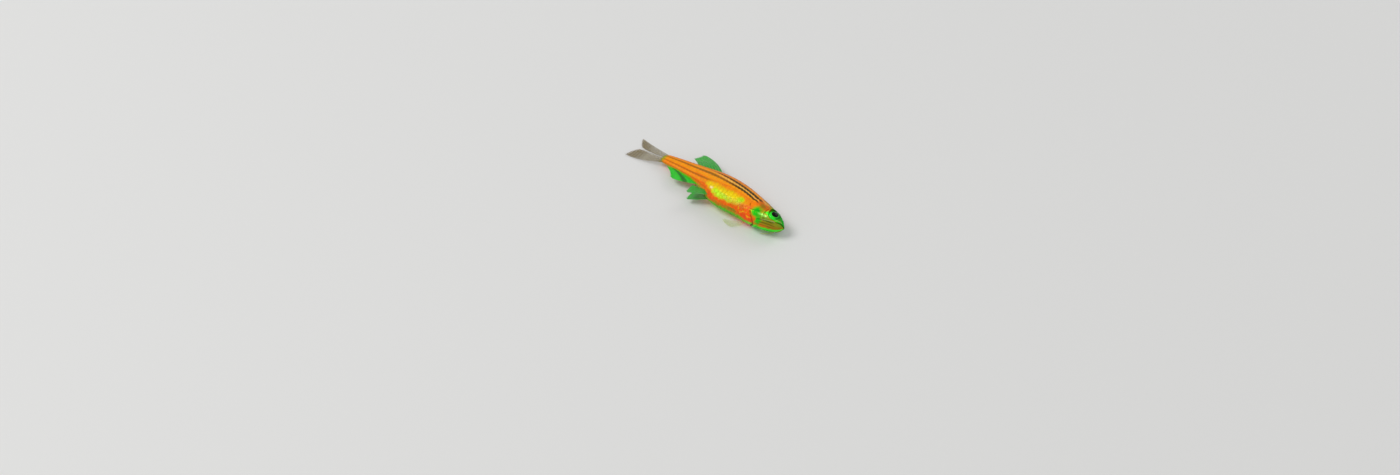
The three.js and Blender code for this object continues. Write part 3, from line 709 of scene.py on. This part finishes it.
def relief(s, y, z, down):  # how far the skin stands out of the plain body, and how dark the painted shade in its creases is
    out, dark = -skinFacts["inset"], 0.0
    if s > share(skinFacts["reliefEnd"]):
        return out, dark
    eyeGap = eyePlace(s, y, z)[0]
    out -= lids["depth"] * smooth(eyeGap, *lids["edge"])
    out += hump(eyeGap, lids["fold"])
    dark = max(dark, hump(eyeGap, lids["creaseShade"]))
    soft = skinFacts["lineSoft"]
    for name, (path, depth, width, darkness, lip, fadeIn, fadeOut) in headLines.items():
        near, where = distanceTo(headCurves[name], s, y)
        if near > skinFacts["lineReach"]:
            continue
        strength = smooth(where, -soft, fadeIn + soft) * smooth(where, 1 + soft, 1 - soft - fadeOut)
        groove = hump(near, (strength, 0, width))
        out += hump(near, (lip * strength, skinFacts["lipPlace"] * width, width)) - depth * groove
        dark = max(dark, darkness * groove)
    for name, (path, darkness) in throatLines.items():
        near, where = distanceTo(throatCurves[name], s, down * fish["halfGirth"])
        if near > skinFacts["lineReach"]:
            continue
        strength = smooth(where, 0.0, folds["fade"]) * smooth(where, 1.0, 1 - folds["fade"])
        out += (hump(near, folds["ridge"]) - hump(near, folds["groove"])) * strength
        dark = max(dark, darkness * hump(near, folds["dark"]) * strength)
    near = distanceTo(gillLine, s, y)[0]
    ends = smoothOver(y, gillShape["top"])
    if s < gillStation(y):
        out += hump(near, gillShape["lip"]) * ends
        dark = max(dark, hump(near, gillShape["lipShade"]) * ends)
    else:
        out -= hump(near, gillShape["slit"]) * ends
        dark = max(dark, hump(near, gillShape["slitShade"]) * ends)
    nostril = math.dist((s, y, z), nostrils["at"])
    out += hump(nostril, nostrils["rim"]) - hump(nostril, nostrils["pit"])
    return out, max(dark, hump(nostril, nostrils["dark"]))


def makeSkin():
    bm = bmesh.new()
    bakeMap = bm.loops.layers.uv.new("OFBake")
    bodyMap = bm.loops.layers.uv.new("bodyMap")
    rings, sides = skinFacts["rings"], skinFacts["sides"]
    bmesh.ops.create_grid(bm, x_segments=rings, y_segments=sides, size=0.5, calc_uvs=True)
    alongLayer = bm.verts.layers.float.new("along")
    turnLayer = bm.verts.layers.float.new("turn")
    creaseShadeLayer = bm.verts.layers.float.new("creaseShade")
    for face in bm.faces:
        for loop in face.loops:
            u, turn = loop.vert.co.x + 0.5, loop.vert.co.y + 0.5
            loop[bakeMap].uv = (u, turn)
            loop[bodyMap].uv = (mix(u, u * u, skinFacts["headShare"]), turn)
    for vert in bm.verts:
        u, turn = vert.co.x + 0.5, vert.co.y + 0.5
        s = length * mix(u, u * u, skinFacts["headShare"])
        vert[alongLayer] = s
        vert[turnLayer] = turn
        s, y, z = bodyPoint(s, turn)
        vert.co = toScene(s, y, z + math.copysign(socketShape(s, y, abs(z)), z))
    bmesh.ops.remove_doubles(bm, verts=bm.verts, dist=skinFacts["weld"])
    bmesh.ops.recalc_face_normals(bm, faces=bm.faces)
    bm.normal_update()
    for vert in bm.verts:
        s, turn = vert[alongLayer], vert[turnLayer]
        z = abs(vert.co.z * 1000 - middleHeight(s))
        out, dark = relief(s, vert.co.y * 1000, z, 2 * min(turn, 1 - turn))
        vert.co += vert.normal * out / 1000
        vert.co.z = max(vert.co.z, fish["floorGap"] / 1000)
        vert[creaseShadeLayer] = dark
    nodes = ("head", "lower_jaw", "gill_cover_right", "gill_cover_left", "torso", "tail_stem")
    return makeObject("skin", bm, skinPaint, nodes)


skin = makeSkin()
print("skin made", len(skin.data.polygons))


plates = {
    "columns": 31, "rows": 11, "first": 0.225, "last": 0.985, "overlap": 1.75, "spread": 1.32,
    "rearLift": -0.008, "frontSink": -0.062, "crown": 0.015, "thickness": 0.016, "bakePatch": 0.0015,
    "seed": 11, "stray": 0.02, "lean": 0.006, "cells": 5, "gillGap": 0.22, "tailGap": 0.01,
}


def makeScales():
    random.seed(plates["seed"])
    bm = bmesh.new()
    bakeMap = bm.loops.layers.uv.new("OFBake")
    bodyMap = bm.loops.layers.uv.new("bodyMap")
    plateMap = bm.loops.layers.uv.new("plateMap")
    toneLayer = bm.verts.layers.float.new("tone")
    step = (plates["last"] - plates["first"]) / plates["columns"]
    halfLong = share(step) * 0.5 * plates["overlap"]
    rows, cells = 2 * plates["rows"], plates["cells"]
    halfAround = 0.5 * plates["spread"] / rows
    for column in range(plates["columns"]):
        for row in range(rows):
            turn0 = (row + 0.5 + 0.5 * (column % 2)) / rows
            station = share(plates["first"] + step * (column + 0.5))
            station += random.uniform(-plates["stray"], plates["stray"])
            lean = random.uniform(-plates["lean"], plates["lean"])
            tone = random.random()
            y0 = bodyPoint(station, turn0)[1]
            if station < gillStation(y0) + plates["gillGap"]:
                continue
            made = bmesh.ops.create_grid(bm, x_segments=cells, y_segments=cells, size=1.0)
            for vert in made["verts"]:
                a, b = vert.co.x, vert.co.y
                a, b = a * math.sqrt(1 - b * b / 2), b * math.sqrt(1 - a * a / 2)
                lift = mix(plates["frontSink"], plates["rearLift"], clamp(0.5 + 0.5 * a))
                lift -= plates["crown"] * b * b
                turn = turn0 + halfAround * b
                s = clamp(station + halfLong * a, 0, length - plates["tailGap"])
                s, y, z = bodyPoint(s, turn, lift + lean * b)
                vert.co = toScene(s, y, z)
                vert[toneLayer] = tone
                root = (station / length + a * plates["bakePatch"],
                        (turn0 % 1.0) + b * plates["bakePatch"])
                for loop in vert.link_loops:
                    loop[bodyMap].uv = (s / length, turn)
                    loop[bakeMap].uv = root
                    loop[plateMap].uv = (a, b)
    piece = makeObject("scales", bm, scalePaint, ())
    shell = piece.modifiers.new("plates", "SOLIDIFY")
    shell.thickness = plates["thickness"] / 1000
    shell.offset = -1
    return piece


scales = makeScales()
print("scales made", len(scales.data.polygons))


eyeLook = {
    "grain": 9000, "uneven": 0.05,
    "rings": [  # the pupil, its bright rim and the iris, by the distance from the middle
        (0.0, (0.0, 0.001, 0.0)), (0.535, (0.0, 0.003, 0.0)), (0.565, (0.1, 0.62, 0.06)),
        (0.62, (0.02, 0.42, 0.02)), (0.72, (0.008, 0.3, 0.01)), (0.85, (0.02, 0.5, 0.02)),
        (0.93, (0.006, 0.12, 0.006)),
    ],
    "glintLean": 0.4, "glintStart": (0.54, 0.62),
}


def makeEyePaint():
    paint, tree, shader = newMaterial("eyePaint", roughness=0.25, coat=0.1, coatRoughness=0.03, specular=0.12)
    across, high = mapOf(tree, "eyeMap")[1:]
    size = 2 * eye["radius"]
    forward = product(tree, calc(tree, "SUBTRACT", across, 0.5), size)
    up = product(tree, calc(tree, "SUBTRACT", high, 0.5), size)
    radius = radiusOf(tree, forward, up)
    grain = noiseOf(tree, placesOf(tree), eyeLook["grain"], 3)
    uneven = calc(tree, "ADD", radius, product(tree, calc(tree, "SUBTRACT", grain, 0.5), eyeLook["uneven"]))
    rings = ramp(tree, uneven, eyeLook["rings"], "LINEAR")
    # The top of the eye is darkened as painted shade, and its lower rim brightened as a painted glint.
    colour = mark(tree, rings, "eyeTopShade", up)
    lower = calc(tree, "SUBTRACT", product(tree, up, -1.0), product(tree, forward, eyeLook["glintLean"]))
    colour = mark(tree, colour, "eyeGlint", lower, fade(tree, radius, *eyeLook["glintStart"]))
    tree.links.new(colour, shader.inputs["Base Color"])
    return paint


eyePaint = makeEyePaint()


def makeEye(word, side):
    facing = Vector((*eye["lean"], side)).normalized()
    turned = Vector((0, 0, side)).rotation_difference(facing)
    centre = toScene(eye["s"], eye["y"], side * eye["z"])
    bm = bmesh.new()
    eyeMap = bm.loops.layers.uv.new("eyeMap")
    around, upwards = eye["segments"]
    bmesh.ops.create_uvsphere(bm, u_segments=around, v_segments=upwards, radius=1.0)
    for vert in bm.verts:
        x, y, z = vert.co
        for loop in vert.link_loops:
            loop[eyeMap].uv = (0.5 + x / 2, 0.5 + y / 2)
        rise = eye["pupilRise"] * smooth(math.hypot(x, y) * eye["radius"], eye["pupil"] + eye["pupilSoft"], 0.0)
        out = eye["depth"] * z + (rise if z > 0 else 0)
        place = Vector((eye["radius"] * x, eye["radius"] * y, side * out))
        vert.co = turned @ place / 1000 + centre
    bmesh.ops.recalc_face_normals(bm, faces=bm.faces)
    return makeObject("eye" + word, bm, eyePaint, ("eye_" + word.lower(),))


makeEye("Right", 1)
makeEye("Left", -1)
print("eyes made")


finLook = {
    "joints": 26, "joint": 0.45, "jointShade": 0.45, "jointFade": (0.75, 0.95), "jointStart": (0.25, 0.5),
    "grain": 2600, "webShade": 0.75, "webFade": (0.35, 0.7),
    "rootFade": (0.3, 0.1), "rootCover": (0.22, 0.05),
}


def makeFinPaint(name, rayColour, webColour, webAlpha, rayAlpha, rootColour=None, streaks=False):
    paint, tree, shader = newMaterial(name, roughness=0.3, coat=0.3, coatRoughness=0.15, specular=0.5)
    ray = attributeOf(tree, "ray")
    reach = mapOf(tree, "finMap")[1]
    joints = calc(tree, "FRACT", product(tree, reach, finLook["joints"]))
    jointed = fade(tree, reach, *finLook["jointStart"])
    joint = product(tree, fade(tree, joints, *finLook["jointFade"]), jointed)
    grain = noiseOf(tree, placesOf(tree), finLook["grain"], 3)
    rayTint = tint(tree, rayColour, joint, finLook["joint"], shaded(rayColour, finLook["jointShade"]))
    webPart = fade(tree, grain, *finLook["webFade"])
    webTint = blend(tree, webPart, webColour, shaded(webColour, finLook["webShade"]))
    colour = blend(tree, ray, webTint, rayTint)
    if rootColour:
        colour = blend(tree, fade(tree, reach, *finLook["rootFade"]), colour, rootColour)
    if streaks:  # a dark band between the bright root and the bright middle
        colour = mark(tree, colour, "finBand", gapFrom(tree, reach, 0.5))
        colour = mark(tree, colour, "finTip", reach)
    tree.links.new(colour, shader.inputs["Base Color"])
    seeThrough = calc(tree, "ADD", webAlpha, product(tree, ray, rayAlpha - webAlpha), clampIt=True)
    cover = calc(tree, "MAXIMUM", seeThrough, fade(tree, reach, *finLook["rootCover"]))
    tree.links.new(cover, shader.inputs["Alpha"])
    return paint


# Each fin's rays run from root to tip with u and from the first to the last with v. "rays" is their reach, a
# share of the length, how it tapers, and a ray's angles in degrees where it starts and where it ends.
finRays = {
    "dorsal": {
        "base": (0.578, 0.745), "rays": ((0.225, 0.09), 0.8, (46, 40), (-8, 22)), "wave": (0.16, 3, 1.5),
    },
    "anal": {
        "base": (0.645, 0.815), "rays": ((0.19, 0.09), 0.8, (-33, -22), (-2, -4)), "wave": (0.14, 2.6, -1.2),
    },
    "caudal": {
        "hub": (0.955, 0.016), "fan": (0.012, 0.03), "gap": 0.06,
        "rays": ((0.2, 0.27), 0.75, (1.5, 24), (1.5, 8)), "upperSpread": 0.5, "wave": (0.1, 4, 2),
    },
    "pelvic": {
        "base": (0.518, 0.56), "rays": ((0.13, 0.075), 1, (-38, -20), (-30, -12)), "out": (0.5, 0.28),
    },
    "pectoralRight": {
        "root": 0.252, "heights": (-0.056, -0.08), "rays": ((0.185, 0.105), 1.2, (-12, -34), (-6, -20)),
        "leastFlank": 0.055, "clear": (-0.3, 0.52), "clearFrom": (-0.05, 0.42), "flare": 0.47,
    },
    "pectoralLeft": {
        "root": 0.24, "heights": (-0.06, -0.08), "rays": ((0.16, 0.095), 1.2, (-36, -62), (-18, -44)),
        "floorHeight": 0.26, "rootLift": 0.5, "rootEnd": 0.35,
    },
}
finRoot = share(0.022)  # how deep the rays are rooted in the flesh
rootLean = 0.3


def bentRay(shape, base, u, v, rooted=0.0, spread=1):
    reaches, taper, start, end = shape["rays"]
    reach = share(mix(*reaches, v ** taper)) + rooted
    angle = math.radians(mix(spread * mix(*start, v), spread * mix(*end, v), u / 2))
    return base[0] + reach * u * math.cos(angle), base[1] + reach * u * math.sin(angle)


def middleRay(name, line, side, u, v):  # side is 1 on the back and -1 on the belly
    shape = finRays[name]
    s = share(mix(*shape["base"], v))
    size, alongV, alongU = shape["wave"]
    end = bentRay(shape, (s - rootLean * finRoot, line(s) - side * finRoot), u, v, finRoot)
    return *end, size * math.sin(alongV * v + alongU * u) * u


def caudalRay(side, u, v):
    shape = finRays["caudal"]
    base = (share(shape["hub"][0]) + share(shape["fan"][0]) * (1 - v),
            share(shape["hub"][1]) + side * (shape["gap"] + share(shape["fan"][1]) * v))
    size, alongV, alongU = shape["wave"]
    end = bentRay(shape, base, u, v, spread=side * (shape["upperSpread"] if side > 0 else 1))
    return *end, size * math.sin(alongV * v * side + alongU * u) * u * (1 - u)


def pelvicRay(side, u, v):
    shape = finRays["pelvic"]
    s = share(mix(*shape["base"], v))
    end = bentRay(shape, (s, bellyLine(s) + finRoot), u, v, finRoot)
    return *end, side * (shape["out"][0] + shape["out"][1] * u)


def pectoralRight(u, v):
    shape = finRays["pectoralRight"]
    end = bentRay(shape, (share(shape["root"]), share(mix(*shape["heights"], v))), u, v)
    flank = max(flankAt(*end), share(shape["leastFlank"]))
    return *end, flank + mix(*shape["clear"], smooth(u, *shape["clearFrom"])) + shape["flare"] * u


def pectoralLeft(u, v):
    shape = finRays["pectoralLeft"]
    end = bentRay(shape, (share(shape["root"]), share(mix(*shape["heights"], v))), u, v)
    lift = shape["rootLift"] * smooth(u, shape["rootEnd"], 0.0)
    return *end, shape["floorHeight"] - fish["axisHeight"] + lift


finPaints = {
    # The green of the green and bright fin paints is green light painted into the fins; their rays, joints,
    # stripes and clear webs are their own.
    "green": makeFinPaint("greenFin", (0.05, 0.7, 0.05), (0.008, 0.34, 0.015), 0.6, 1.0),
    "bright": makeFinPaint("brightFin", (0.02, 0.9, 0.03), (0.02, 0.62, 0.02), 0.75, 1.0, streaks=True),
    "paired": makeFinPaint("pairedFin", (0.7, 0.8, 0.08), (0.5, 0.6, 0.05), 0.05, 0.3, hue["orange"]),
    "tail": makeFinPaint("tailFin", (0.2, 0.075, 0.008), (0.3, 0.28, 0.05), 0.14, 0.8),
}
fins = {  # the node it replaces, the number of rays, their shape and the paint
    "dorsalFin": ("dorsal_fin", 9, lambda u, v: middleRay("dorsal", backLine, 1, u, v), "green"),
    "analFin": ("anal_fin", 14, lambda u, v: middleRay("anal", bellyLine, -1, u, v), "bright"),
    "caudalFinUpper": ("caudal_fin_upper", 10, lambda u, v: caudalRay(1, u, v), "tail"),
    "caudalFinLower": ("caudal_fin_lower", 9, lambda u, v: caudalRay(-1, u, v), "tail"),
    "pelvicFinRight": ("pelvic_fin_right", 7, lambda u, v: pelvicRay(1, u, v), "green"),
    "pelvicFinLeft": ("pelvic_fin_left", 7, lambda u, v: pelvicRay(-1, u, v), "green"),
    "pectoralFinRight": ("pectoral_fin_right", 11, pectoralRight, "paired"),
    "pectoralFinLeft": ("pectoral_fin_left", 11, pectoralLeft, "paired"),
}
finMesh = {
    "perRay": 8, "rows": 46, "rayThickness": 0.13, "webShare": 0.22, "notch": 0.05, "notchEdge": (0.1, 0.5),
    "fork": 0.17, "forkStart": 0.5, "strandWidth": 0.12, "stemWidth": 0.16, "stemEnd": (0.45, 0.7),
    "corner": 0.09, "cornerWidth": 0.06,
}


def makeFin(name, node, rayCount, rayPlace, paint):
    bm = bmesh.new()
    spaces = rayCount - 1
    finMap = bm.loops.layers.uv.new("finMap")
    bmesh.ops.create_grid(bm, x_segments=finMesh["perRay"] * spaces, y_segments=finMesh["rows"], size=0.5)
    rayLayer = bm.verts.layers.float.new("ray")
    for vert in bm.verts:
        v, u = vert.co.x + 0.5, vert.co.y + 0.5
        offRay = abs(v * spaces - round(v * spaces))
        fork = finMesh["fork"] * smooth(u, finMesh["forkStart"], 1.0)
        strand = hump(offRay, (1, fork, finMesh["strandWidth"]))
        stem = hump(offRay, (1, 0, finMesh["stemWidth"])) * (1 - smooth(u, *finMesh["stemEnd"]))
        vert[rayLayer] = max(strand, stem)
        corner = 1 - finMesh["corner"] * smooth(v, finMesh["cornerWidth"], 0.0) * u
        reach = u * corner * (1 - finMesh["notch"] * smooth(offRay, *finMesh["notchEdge"]) * u ** 3)
        for loop in vert.link_loops:
            loop[finMap].uv = (u, v)
        vert.co = toScene(*rayPlace(reach, v))
    piece = makeObject(name, bm, finPaints[paint], (node,))
    rayGroup = piece.vertex_groups.new(name="rays")
    rays = piece.data.attributes["ray"].data
    for i in range(len(piece.data.vertices)):
        rayGroup.add([i], max(0.0, rays[i].value), "REPLACE")
    body = piece.modifiers.new("thickness", "SOLIDIFY")
    body.thickness = finMesh["rayThickness"] / 1000
    body.offset = 0
    body.vertex_group = "rays"
    body.thickness_vertex_group = finMesh["webShare"]


for finName, finFacts in fins.items():
    makeFin(finName, *finFacts)
print("fins made")


def makeBarbelPaint():
    paint, tree, shader = newMaterial("barbelSkin", roughness=0.4, coat=0.3, coatRoughness=0.2)
    grain = noiseOf(tree, placesOf(tree), barbelShape["grain"], 2)
    tree.links.new(blend(tree, grain, *barbelShape["colours"]), shader.inputs["Base Color"])
    return paint


barbelShape = {
    "rings": 24, "sides": 10, "tip": 0.3, "section": (0.5, 0.85), "blunt": 16, "weld": 1e-7,
    "grain": 3000, "colours": ((0.62, 0.5, 0.12), (0.3, 0.42, 0.08)),
}
barbels = {
    "snoutBarbel": {
        "node": "snout_barbel_", "root": 0.075,
        "path": [
            (0.02, -0.002, 0.024), (0.024, -0.006, 0.038), (0.036, -0.014, 0.046), (0.056, -0.026, 0.054),
        ],
    },
    "mouthBarbel": {
        "node": "mouth_barbel_", "root": 0.085,
        "path": [
            (0.05, -0.032, 0.034), (0.058, -0.038, 0.046), (0.088, -0.06, 0.056), (0.125, -0.084, 0.064),
        ],
    },
}
barbelPaint = makeBarbelPaint()


def makeBarbel(name, facts, word, side):
    rings = barbelShape["rings"]
    flat = curveThrough([(s, y) for s, y, z in facts["path"]], rings + 1)
    deep = curveThrough([(s, z) for s, y, z in facts["path"]], rings + 1)
    bm = bmesh.new()
    bmesh.ops.create_grid(bm, x_segments=rings, y_segments=barbelShape["sides"], size=0.5)
    for vert in bm.verts:
        u, angle = vert.co.x + 0.5, (vert.co.y + 0.5) * 2 * math.pi
        i = round(u * rings)
        ends = math.sqrt(clamp(1 - (u * 2 - 1) ** barbelShape["blunt"]))
        radius = facts["root"] * mix(1.0, barbelShape["tip"], u) * ends
        s = flat[i][0] + radius * math.cos(angle) * barbelShape["section"][0]
        y = flat[i][1] + radius * math.cos(angle) * barbelShape["section"][1]
        vert.co = toScene(s, y, side * deep[i][1] + radius * math.sin(angle))
    bmesh.ops.remove_doubles(bm, verts=bm.verts, dist=barbelShape["weld"])
    bmesh.ops.recalc_face_normals(bm, faces=bm.faces)
    return makeObject(name + word, bm, barbelPaint, (facts["node"] + word.lower(),))


for barbelName, barbelFacts in barbels.items():
    makeBarbel(barbelName, barbelFacts, "Right", 1)
    makeBarbel(barbelName, barbelFacts, "Left", -1)
print("barbels made")


studio = {
    "floorSize": 3.0, "floorColour": (0.8, 0.8, 0.79), "world": (1.0, 1.0, 1.0), "worldStrength": 0.42,
}
lamps = {
    "key": {"at": (-0.35, -0.25, 0.6), "size": 0.35, "power": 2.3},
    "fill": {"at": (0.5, -0.4, 0.4), "size": 0.5, "power": 0.7},
    "rim": {"at": (0.1, 0.55, 0.35), "size": 0.3, "power": 0.6},
}
view = {
    "azimuth": 40.78, "elevation": 45.0, "distance": 0.45, "lens": 76.26, "sensor": 36, "clip": (0.005, 20),
    "target": (-0.000964, -0.008492, 0.0),
}


def aim(thing, target, away):  # puts it this far from the target and points it there
    thing.location = target + away
    thing.rotation_euler = (-away).to_track_quat("-Z", "Y").to_euler()


def makeStage():
    bm = bmesh.new()
    bmesh.ops.create_grid(bm, x_segments=1, y_segments=1, size=studio["floorSize"] / 2)
    paint = newMaterial("floorPaint", roughness=0.6, colour=(*studio["floorColour"], 1))[0]
    floor = meshObject("floor", bm, paint)
    world = bpy.data.worlds.new("studio")
    world.use_nodes = True
    back = world.node_tree.nodes["Background"]
    back.inputs[0].default_value = (*studio["world"], 1)
    back.inputs[1].default_value = studio["worldStrength"]
    bpy.context.scene.world = world
    for name, facts in lamps.items():
        data = bpy.data.lights.new(name, "AREA")
        data.energy = facts["power"]
        data.size = facts["size"]
        aim(addObject(name, data), Vector((0, 0, 0)), Vector(facts["at"]))
    bpy.context.scene.view_settings.view_transform = "Standard"


def makeCamera():
    azimuth, elevation = math.radians(view["azimuth"]), math.radians(view["elevation"])
    back = Vector((math.sin(azimuth) * math.cos(elevation), -math.cos(azimuth) * math.cos(elevation),
                   math.sin(elevation)))
    data = bpy.data.cameras.new("camera")
    data.lens = view["lens"]
    data.sensor_width = view["sensor"]
    data.clip_start, data.clip_end = view["clip"]
    camera = addObject("camera", data)
    aim(camera, Vector(view["target"]), back * view["distance"])
    bpy.context.scene.camera = camera


makeStage()
makeCamera()
print("stage and camera made")
